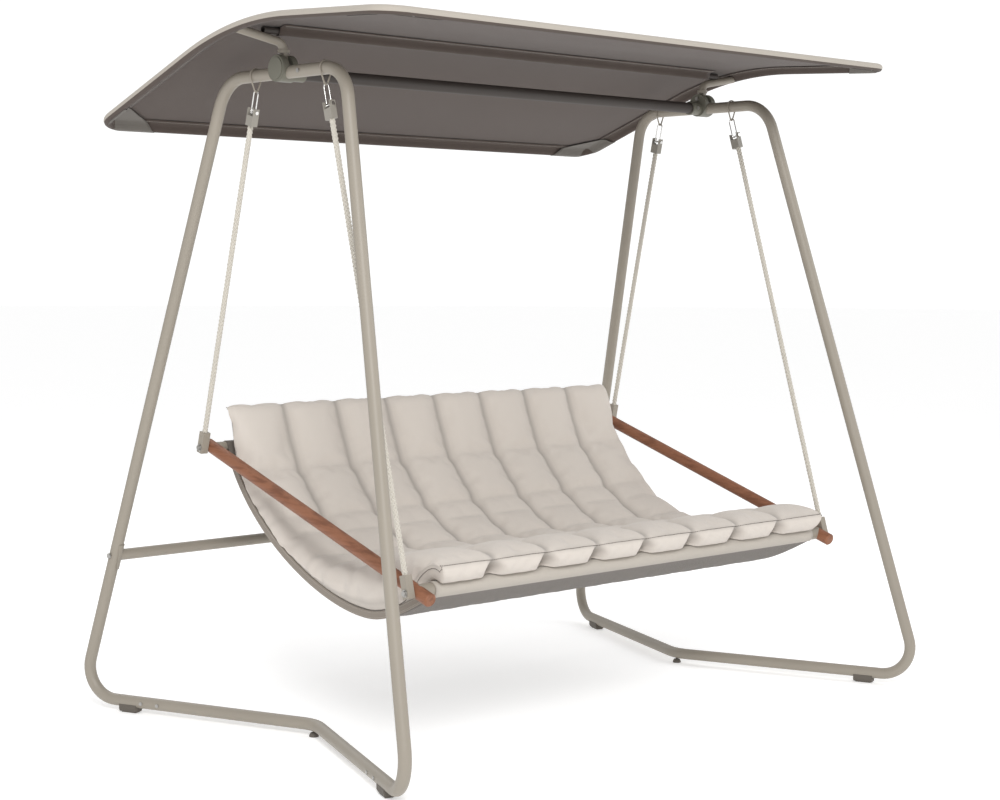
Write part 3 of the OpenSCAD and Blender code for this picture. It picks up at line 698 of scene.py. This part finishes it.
def makeSling(cfg):
    # from the inner hem over the front tube, along the belly and over the rear tube to the other hem
    belly = slingLine(0.0012)
    inner = slingLine(0.0040)
    front = ringRun(cfg["pivotFront"], cfg["tubeFront"] + 0.0008, 20, 268, 22)
    rear = ringRun(cfg["pivotRear"], cfg["tubeRear"] + 0.0008, -120, 160, 20)
    line = np.vstack([inner[6:3:-1], front, belly[2:-3], rear, inner[-4:-7:-1]])
    total = lengths(line)[-1]
    where = np.linspace(0, total, 190)
    profile = resample(line, where)
    xs = np.linspace(-cfg["slingHalf"], cfg["slingHalf"], 100)
    verts, uv = [], []
    for x in xs:
        crease = 0.0006 * np.sin(x * 41 + where * 9) + 0.0004 * np.sin(x * 113 - where * 23)
        loose = np.clip(np.abs(profile[:, 0] + 0.08) < 0.42, 0, 1) * crease
        for (y, z), s, off in zip(profile, where, loose):
            verts.append((x, y, z + off - 0.0004))
            uv.append((x, s))
    sleeve = lengths(np.vstack([inner[6:3:-1], front]))[-1]
    # faces past the front sleeve take the darker belly cloth: painted shade under the seat
    picks = [0 if where[k + 1] < sleeve + 0.004 else 1 for k in range(len(where) - 1)] * (len(xs) - 1)
    piece = meshPiece("seatSling", verts, gridFaces(len(xs), len(where)), "sling", np.array(uv),
                      second="belly", picks=picks)
    thicken(piece, cfg["cloth"])
    finishPiece(piece, "seat", ["sling"])
    print("sling flat length", round(float(total), 3))


def makeBinding(cfg):
    base = slingLine(0.0)
    keep = (base[:, 0] > -0.562) & (base[:, 0] < 0.415)
    base = base[keep]
    steps, middle = cfg["bindingSteps"], cfg["slingHalf"] + cfg["bindingOut"]
    where = np.linspace(0, lengths(base)[-1], steps)
    base = resample(base, where)
    up = sideways(base)
    h, w = cfg["binding"], cfg["bindingHalf"]
    ring, soft = [], 0.0022
    for cx, cy, a0 in ((1, 1, 0), (-1, 1, 90), (-1, -1, 180), (1, -1, 270)):
        for a in np.radians(np.linspace(a0, a0 + 90, 5)):
            across, high = cx * (w - soft), h / 2 + cy * (h / 2 - soft)
            ring.append((across + soft * math.cos(a), high + soft * math.sin(a)))
    verts, faces, uv = [], [], []
    for side in (-1, 1):
        first = len(verts)
        for (y, z), (ny, nz), along in zip(base, up, where):
            for a, b in ring:
                verts.append((side * middle + a, y + ny * b, z + nz * b))
                uv.append((b, along))
        n = len(ring)
        faces += [tuple(first + v for v in q) for q in gridFaces(steps, n, True)]
        faces.append(tuple(first + k for k in range(n)))
        faces.append(tuple(first + (steps - 1) * n + k for k in range(n))[::-1])
    piece = meshPiece("slingBinding", verts, faces, "tape", np.array(uv))
    faceOut(piece)
    finishPiece(piece, "seat", ["sling_bindings"])
    return [np.stack([np.full(steps, side * (middle + w * 1.03)), *(base + up * at).T], 1)
            for side in (-1, 1) for at in cfg["seamsAt"]]


makeSling(seatSet)
bindingSeams = makeBinding(seatSet)

cushionSet = {
    "half": 0.862,
    "columns": 8,
    "rows": (0.0, 0.254, 0.445, 0.650, 0.860, 1.070, 1.285),
    "across": 14,
    "along": 13,
    "crown": 0.024,
    "crossDip": 0.62,
    "pinch": 0.011,
    "wall": 5,
    "dart": 0.040,
    "quality": 5,
    "mass": 0.35,
    "tension": 18,
    "shear": 8,
    "bending": 0.35,
    "pressure": 3.6,
    "slack": -0.045,
    "cap": 0.020,
    "frames": 20,
}


def cushionCurves():
    top = np.vstack([bezier((0.426, 0.996), (0.415, 1.012), (0.392, 1.006), (0.376, 0.962), 8),
                     bezier((0.370, 0.946), (0.330, 0.840), (0.300, 0.770), (0.150, 0.640), 14),
                     bezier((0.130, 0.622), (0.040, 0.555), (-0.120, 0.520), (-0.260, 0.565), 14),
                     bezier((-0.290, 0.574), (-0.420, 0.612), (-0.520, 0.632), (-0.590, 0.624), 12),
                     np.array([(-0.610, 0.6175), (-0.628, 0.607)])])
    s = lengths(top)
    top = resample(top, np.linspace(0, s[-1], 500))
    under = slingLine(0.0052)
    under = under[(under[:, 0] > -0.50) & (under[:, 1] < 0.80)][::-1]
    low = np.vstack([bezier((0.426, 0.996), (0.423, 0.96), (0.406, 0.88), (0.394, 0.812), 10), under[1:],
                     bezier(under[-1], (-0.527, 0.503), (-0.549, 0.594), (-0.605, 0.5485), 10)[1:]])
    gap = np.linalg.norm(low - (seatSet["pivotFront"], barAt(seatSet["pivotFront"])), axis=1).min()
    print("cushion above the front tube", round(float(gap - seatSet["tubeFront"]), 4))
    return top, low


def pillow(t, power, lift):
    return (1 - np.abs(2 * t - 1) ** power) ** lift


def makeCushion(cfg):
    top, low = cushionCurves()
    total = lengths(top)[-1]
    rows = np.array(cfg["rows"]) * total / cfg["rows"][-1]
    na, ns = cfg["across"], cfg["along"]
    nx, nj = cfg["columns"] * na + 1, (len(rows) - 1) * ns + 1
    j = np.arange(nj)
    cell = np.minimum(j // ns, len(rows) - 2)
    v = (j - cell * ns) / ns
    s = rows[cell] + v * (rows[cell + 1] - rows[cell])
    line = resample(top, s)
    normal = -sideways(resample(top, np.linspace(0, total, 400)))
    normal = np.stack([np.interp(s, np.linspace(0, total, 400), normal[:, k]) for k in (0, 1)], 1)
    under = resample(low, np.linspace(0, lengths(low)[-1], nj))
    i = np.arange(nx)
    xs = np.linspace(-cfg["half"], cfg["half"], nx)
    column = np.minimum(i // na, cfg["columns"] - 1)
    u = (i - column * na) / na
    first, last = column == 0, column == cfg["columns"] - 1
    roundU = pillow(u, 3.0, 0.62)
    roundU[(first & (u < 0.5)) | (last & (u > 0.5))] = 1.0
    roundV = pillow(v, 3.0, 0.6)
    roundV = np.where((cell == 0) & (v < 0.5), 1.0, roundV)
    roundV = np.where((cell == len(rows) - 2) & (v > 0.5), 0.72 + 0.28 * pillow(v, 3.0, 0.6), roundV)
    knot = np.exp(-((np.minimum(v, 1 - v) * ns) / 1.6) ** 2)
    knot = np.where((cell == 0) & (v < 0.5), 0, knot)
    calm = np.clip((cfg["half"] - np.abs(xs)) / 0.11, 0, 1)[:, None]
    valley = (1 - cfg["crossDip"]) * (1 - roundV[None, :]) * calm
    high = roundU[:, None] * (1 - valley)
    groove = np.exp(-((np.minimum(u, 1 - u) * na) / 1.2) ** 2)
    groove = np.where(first & (u < 0.5) | last & (u > 0.5), 0, groove)
    lift = cfg["crown"] * (high - 1) - cfg["pinch"] * knot[None, :] * groove[:, None]
    thick = np.linalg.norm(line - under, axis=1)
    edge = np.clip(1 - (cfg["half"] - np.abs(xs)) / 0.052, 0, 1)
    drop = (1 - np.sqrt(1 - edge ** 2))[:, None] * np.minimum(0.042, 0.52 * thick)[None, :]
    room = np.clip(thick / 0.05, 0.0, 1)[None, :]
    straight = np.where(cell == len(rows) - 2, 1 - 0.8 * v ** 2, 1.0)
    lift = lift * room * straight[None, :] - drop * (straight[None, :] ** 1.5)
    verts = np.zeros((nx, nj, 3))
    verts[:, :, 0] = xs[:, None] - np.sign(xs)[:, None] * 0.004 * (edge > 0.98)[:, None]
    verts[:, :, 1:] = line[None] + lift[:, :, None] * normal[None]
    # the front seam is pulled in at each channel
    verts[:, -1, 1] += 0.010 * groove
    # underside, on the sling
    below = np.zeros((nx, nj, 3))
    below[:, :, 0] = xs[:, None] * 0.9935
    below[:, :, 1:] = under[None]
    below[:, -1, 1] += 0.030 * groove
    below[:, -1, 2] += 0.013 * groove
    # its side edges lie on top of the sling's binding
    climb = sideways(under)
    climb *= np.sign(climb[:, 1:] + 1e-9)
    for a in (0, nx - 1):
        below[a, :, 0] = np.sign(xs[a]) * 0.8515
        below[a, :, 1:] = under + climb * np.minimum(0.0215, 0.45 * thick)[:, None]
        # at the front the side seam climbs to the top corner
        raised = 0.92 * (np.clip((j - (nj - 13)) / 12, 0, 1) ** 1.4)[:, None]
        below[a] = below[a] * (1 - raised) + verts[a] * raised
    ring = [(0, k) for k in range(1, nj)] + [(k, nj - 1) for k in range(1, nx)] + [
        (nx - 1, k) for k in range(nj - 2, 0, -1)]
    index = {}
    points, pins, seam, uv = [], [], [], []

    def put(key, p, pin, seamShading, at):
        index[key] = len(points)
        points.append(p)
        pins.append(pin)
        seam.append(seamShading)
        uv.append(at)

    for a in range(nx):
        for b in range(nj):
            onChannel = groove[a] > 0.99
            onRow = b % ns == 0 and 0 < b < nj - 1
            pin = 1.0 if onChannel or onRow or b in (0, nj - 1) else 0.0
            # the seam value is painted shade in the channel grooves and cross rows; the front top seam is
            # darkened too
            seamShading = groove[a] ** 2.5 + 0.12 * (1 if onRow else 0)
            if b == nj - 1:
                seamShading = max(seamShading, 0.35)
            put(("t", a, b), verts[a, b], pin, seamShading, (xs[a], s[b]))
    for a in range(nx):
        index[("b", a, 0)] = index[("t", a, 0)]
        for b in range(1, nj):
            put(("b", a, b), below[a, b], 1.0, 0.0, (xs[a], s[b]))
    m = cfg["wall"]
    for a, b in ring:
        p, q = verts[a, b], below[a, b]
        isFront = b == nj - 1
        for k in range(1, m):
            t = k / m
            mid = p * (1 - t) + q * t
            swell = math.sin(math.pi * t)
            onChannel = isFront and groove[a] > 0.99
            if isFront:
                leaf = groove[a] ** (1.0 / (0.55 + 2.4 * t)) if groove[a] > 0 else 0.0
                tuck = cfg["dart"] * leaf * swell * (0.45 + t)
                mid = mid + np.array((0, tuck - 0.013 * swell * (1 - leaf), 0))
            if a in (0, nx - 1):
                mid = mid + np.array((np.sign(xs[a]) * 0.005 * swell * min(1, thick[b] / 0.05), 0, 0))
            # on the walls the seam value paints shade into the front darts and along the side walls' lowest
            # row
            put(("w", a, b, k), mid, 1.0 if onChannel else 0.0,
                groove[a] ** (1.0 / (0.6 + 2.6 * t)) if isFront else (0.5 if k == m - 1 else 0.0),
                (xs[a] + (0 if isFront else t * 0.06), s[b] + (t * 0.05 if isFront else 0)))

    def wallAt(a, b, k):
        if b == 0 or k == 0:
            return index[("t", a, b)]
        return index[("b", a, b)] if k == m else index[("w", a, b, k)]

    faces = []
    for a in range(nx - 1):
        for b in range(nj - 1):
            around = ((a, b), (a + 1, b), (a + 1, b + 1), (a, b + 1))
            faces.append([index[("t", *at)] for at in around])
            faces.append([index[("b", *at)] for at in (around[0], *around[:0:-1])])
    track = [(0, 0)] + ring + [(nx - 1, 0)]
    for (a, b), (c, d) in zip(track[:-1], track[1:]):
        for k in range(m):
            faces.append([wallAt(a, b, k), wallAt(c, d, k), wallAt(c, d, k + 1), wallAt(a, b, k + 1)])
    clean = []
    for f in faces:
        kept = [p for n, p in enumerate(f) if p != f[n - 1]]
        if len(set(kept)) > 2:
            clean.append(tuple(kept))
    piece = meshPiece("seatCushion", np.array(points), clean, "cushion", np.array(uv),
                      {"seam": np.clip(seam, 0, 1)})
    faceOut(piece)
    frontSeam = [index[("t", a, nj - 1)] for a in range(nx)]
    leftSeam = [index[("b", 0, b)] for b in range(nj)]
    rightSeam = [index[("b", nx - 1, b)] for b in range(nj)]
    corners3 = [[wallAt(e, nj - 1, k) for k in range(m + 1)] for e in (0, nx - 1)]
    return piece, np.array(pins), [frontSeam, leftSeam, rightSeam, *corners3]


def swellPad(piece, pins, cfg):
    group = piece.vertex_groups.new(name="sewn")
    group.add([int(k) for k in np.nonzero(pins > 0.5)[0]], 1.0, "REPLACE")
    count = len(piece.data.vertices)
    start = np.empty(count * 3)
    piece.data.vertices.foreach_get("co", start)
    start = start.reshape(-1, 3)
    cloth = piece.modifiers.new("swell", "CLOTH")
    use = cloth.settings
    use.quality, use.mass = cfg["quality"], cfg["mass"]
    use.tension_stiffness = use.compression_stiffness = cfg["tension"]
    use.shear_stiffness, use.bending_stiffness = cfg["shear"], cfg["bending"]
    use.use_pressure = True
    use.uniform_pressure_force = cfg["pressure"]
    use.shrink_min = cfg["slack"]
    use.vertex_group_mass = "sewn"
    use.effector_weights.gravity = 0
    cloth.collision_settings.use_collision = False
    cloth.point_cache.frame_end = cfg["frames"] + 1
    scene = bpy.context.scene
    for step in range(1, cfg["frames"] + 1):
        scene.frame_set(step)
    graph = bpy.context.evaluated_depsgraph_get()
    ready = piece.evaluated_get(graph)
    done = np.empty(count * 3)
    ready.data.vertices.foreach_get("co", done)
    move = done.reshape(-1, 3) - start
    far = np.linalg.norm(move, axis=1)
    cap = cfg["cap"]
    move *= np.where(far > 1e-9, cap * np.tanh(far / cap) / np.maximum(far, 1e-9), 0)[:, None]
    piece.modifiers.remove(cloth)
    piece.vertex_groups.clear()
    scene.frame_set(1)
    piece.data.vertices.foreach_set("co", (start + move).ravel())
    piece.data.update()
    print("cushion swell, widest move", round(float(far.max()), 4))


cushion, pins, seamRuns = makeCushion(cushionSet)
swellPad(cushion, pins, cushionSet)
soft = cushion.modifiers.new("soft", "SUBSURF")
soft.levels = soft.render_levels = 1
finishPiece(cushion, "seat", ["cushion"])
print("stage: cushion")

# sewing: dark runs on the cushion's seams, pale ones on binding and hems
sewing = {"gap": 0.0062, "long": 0.0052, "thread": 0.0009, "hemIn": 0.036}


def surfaceRun(piece, marks, out):
    # where a run of the piece's own points ends up on its softened surface, a little proud of it
    bpy.context.view_layer.update()
    ready = piece.evaluated_get(bpy.context.evaluated_depsgraph_get()).data
    return np.array([ready.vertices[k].co + ready.vertices[k].normal * out for k in marks])


def sew(name, lines, finish, body, thread=1.0):
    piece = stitchTree(finish).grow(name, linePiece(name + "Path", lines), {
        "Gap": sewing["gap"], "Length": sewing["long"], "Thread": sewing["thread"] * thread})
    finishPiece(piece, body)


sew("cushionSeamStitches", [surfaceRun(cushion, marks, 0.0005) for marks in seamRuns], "thread", "seat",
    1.5)
sew("bindingStitches", bindingSeams, "paleThread", "seat")


def hemLine(inward, high):
    w, long, r = canopySet["halfWide"] - inward, run.long - inward, canopySet["corner"]
    turn = np.linspace(0, math.pi / 2, 9)
    line = []
    near, far = inward + r, long - r
    for k, (cx, cs) in enumerate(((w - r, far), (-w + r, far), (-w + r, near), (w - r, near))):
        line += [(cx + r * math.cos(a), cs + r * math.sin(a)) for a in turn + k * math.pi / 2]
    line = np.array(line + line[:1])
    line = resample(line, np.linspace(0, lengths(line)[-1], 600))
    return run.at(line[:, 0], line[:, 1], high - sagOf(line[:, 0], line[:, 1], canopySet))


sew("canopyHemStitches", [hemLine(sewing["hemIn"], 0.0074)], "paleThread", "canopy", 0.8)
sleeveX = np.linspace(-0.95, 0.95, 300)
sew("ridgeSleeveStitches", [run.at(sleeveX, 0 * sleeveX + ridgeAt + ds, 0 * sleeveX + 0.0071)
                            for ds in (-0.036, 0.036)], "paleThread", "canopy", 0.8)
print("stage: sewing")

# ropes: strands braided over one another round a core
ropeSet = {"radius": 0.0056, "strand": 0.0027, "wave": 0.0011, "pitch": 0.052, "step": 0.0042,
           "strands": 8, "endBand": 0.004, "inset": 0.001}


def braidTree(cfg):
    g = Grower("braidedRope", {"Radius": cfg["radius"], "Strand": cfg["strand"], "Wave": cfg["wave"],
                               "Pitch": cfg["pitch"], "Step": cfg["step"], "Strands": cfg["strands"]})
    axis = g.node("GeometryNodeMeshToCurve", {}, {"Mesh": g.given("Geometry")})
    fine = g.node("GeometryNodeResampleCurve", {"mode": "LENGTH"}, {"Curve": axis, "Length": g.given("Step")})
    copies = g.node("GeometryNodeDuplicateElements", {"domain": "SPLINE"},
                    {"Geometry": fine, "Amount": g.given("Strands")}).node
    which = copies.outputs["Duplicate Index"]
    odd = g.sums("MODULO", which, 2.0)
    hand = g.sums("SUBTRACT", 1.0, g.sums("MULTIPLY", odd, 2.0))
    phase = g.sums("MULTIPLY", g.sums("FLOOR", g.sums("DIVIDE", which, 2.0)), 4 * math.pi / cfg["strands"])
    along = g.node("GeometryNodeSplineParameter", {}, {}, "Length")
    swept = g.sums("DIVIDE", g.sums("MULTIPLY", along, 2 * math.pi), g.given("Pitch"))
    angle = g.sums("ADD", g.sums("MULTIPLY", swept, hand), phase)
    weave = g.sums("MULTIPLY", g.sums("COSINE", g.sums("MULTIPLY", swept, cfg["strands"] / 2)), hand)
    reach = g.sums("ADD", g.given("Radius"), g.sums("MULTIPLY", weave, g.given("Wave")))
    normal = g.node("GeometryNodeInputNormal", {}, {})
    tangent = g.node("GeometryNodeInputTangent", {}, {})
    flank = g.node("ShaderNodeVectorMath", {"operation": "CROSS_PRODUCT"}, {0: tangent, 1: normal})
    first = g.node("ShaderNodeVectorMath", {"operation": "SCALE"},
                   {0: normal, "Scale": g.sums("MULTIPLY", g.sums("COSINE", angle), reach)})
    second = g.node("ShaderNodeVectorMath", {"operation": "SCALE"},
                    {0: flank, "Scale": g.sums("MULTIPLY", g.sums("SINE", angle), reach)})
    shift = g.node("ShaderNodeVectorMath", {"operation": "ADD"}, {0: first, 1: second})
    moved = g.node("GeometryNodeSetPosition", {}, {"Geometry": copies.outputs["Geometry"], "Offset": shift})
    profile = g.node("GeometryNodeCurvePrimitiveCircle", {}, {"Resolution": 6, "Radius": g.given("Strand")})
    strands = g.node("GeometryNodeCurveToMesh", {},
                     {"Curve": moved, "Profile Curve": profile, "Fill Caps": True})
    heart = g.node("GeometryNodeCurvePrimitiveCircle", {}, {"Resolution": 12, "Radius": g.given("Radius")})
    core = g.node("GeometryNodeCurveToMesh", {}, {"Curve": axis, "Profile Curve": heart, "Fill Caps": True})
    both = g.tree.nodes.new("GeometryNodeJoinGeometry")
    for part in (core, strands):
        g.tree.links.new(part, both.inputs[0])
    smooth = g.node("GeometryNodeSetShadeSmooth", {}, {"Geometry": both.outputs[0]})
    g.close(smooth, "rope")
    return g


braid = braidTree(ropeSet)
for corner in corners:
    solid = nodes["rope_" + corner]
    points = np.array([solid.matrix_world @ v.co for v in solid.data.vertices])
    high, low = points[:, 2].max(), points[:, 2].min()
    ends = [points[np.abs(points[:, 2] - z) < ropeSet["endBand"]].mean(0) for z in (high, low)]
    inset = (ends[1] - ends[0]) / np.linalg.norm(ends[1] - ends[0]) * ropeSet["inset"]
    path = np.array([ends[0] + inset, (ends[0] + ends[1]) / 2, ends[1] - inset])
    piece = braid.grow("rope" + corner.title().replace("_", ""), linePiece("ropePath" + corner, [path]))
    finishPiece(piece, "hanger_" + corner, ["rope_" + corner])
print("stage: ropes")

# floor, light and the closing lines
stageSet = {"floor": 60.0, "tone": (0.90, 0.90, 0.90), "glow": 0.34, "seen": 1.1, "world": 0.72}


def makeStage(cfg):
    mesh = bpy.data.meshes.new("floor")
    n = 64
    turns = [2 * math.pi * k / n for k in range(n)]
    rim = [(cfg["floor"] * math.cos(a), cfg["floor"] * math.sin(a), -0.0005) for a in turns]
    mesh.from_pydata(rim, [], [tuple(range(n))])
    floor = bpy.data.objects.new("floor", mesh)
    bpy.context.scene.collection.objects.link(floor)
    f = Finish("paleFloor", {"Roughness": 0.9, "Specular IOR Level": 0.1,
                             "Emission Color": (1, 1, 1, 1), "Emission Strength": cfg["glow"]})
    cloud = f.noise(f.place(), 0.7, 2.0)
    f.feed("Base Color", f.blend(cloud, tuple(c * 0.985 for c in cfg["tone"]), cfg["tone"]))
    mesh.materials.append(f.material)


def areaLight(name, place, aim, size, power):
    data = bpy.data.lights.new(name, "AREA")
    data.shape, data.size, data.energy = "DISK", size, power
    lamp = bpy.data.objects.new(name, data)
    bpy.context.scene.collection.objects.link(lamp)
    lamp.location = place
    lamp.rotation_euler = (Vector(aim) - Vector(place)).to_track_quat("-Z", "Y").to_euler()


makeStage(stageSet)
world = bpy.data.worlds.new("studio")
bpy.context.scene.world = world
world.use_nodes = True
sky = world.node_tree
shown = sky.nodes.new("ShaderNodeBackground")
path = sky.nodes.new("ShaderNodeLightPath")
either = sky.nodes.new("ShaderNodeMixShader")
for back, key in ((sky.nodes["Background"], "world"), (shown, "seen")):
    back.inputs["Color"].default_value = (1, 1, 1, 1)
    back.inputs["Strength"].default_value = stageSet[key]
sky.links.new(path.outputs["Is Camera Ray"], either.inputs[0])
sky.links.new(sky.nodes["Background"].outputs[0], either.inputs[1])
sky.links.new(shown.outputs[0], either.inputs[2])
sky.links.new(either.outputs[0], sky.nodes["World Output"].inputs["Surface"])
areaLight("keyLight", (-4.5, -5.5, 5.0), (0, 0, 0.8), 3.0, 330)
areaLight("fillLight", (4.8, -3.2, 3.6), (0, 0, 0.8), 4.0, 60)
areaLight("backLight", (1.0, 5.5, 4.6), (0, 0, 1.2), 4.0, 70)
bpy.context.scene.view_settings.view_transform = "Standard"
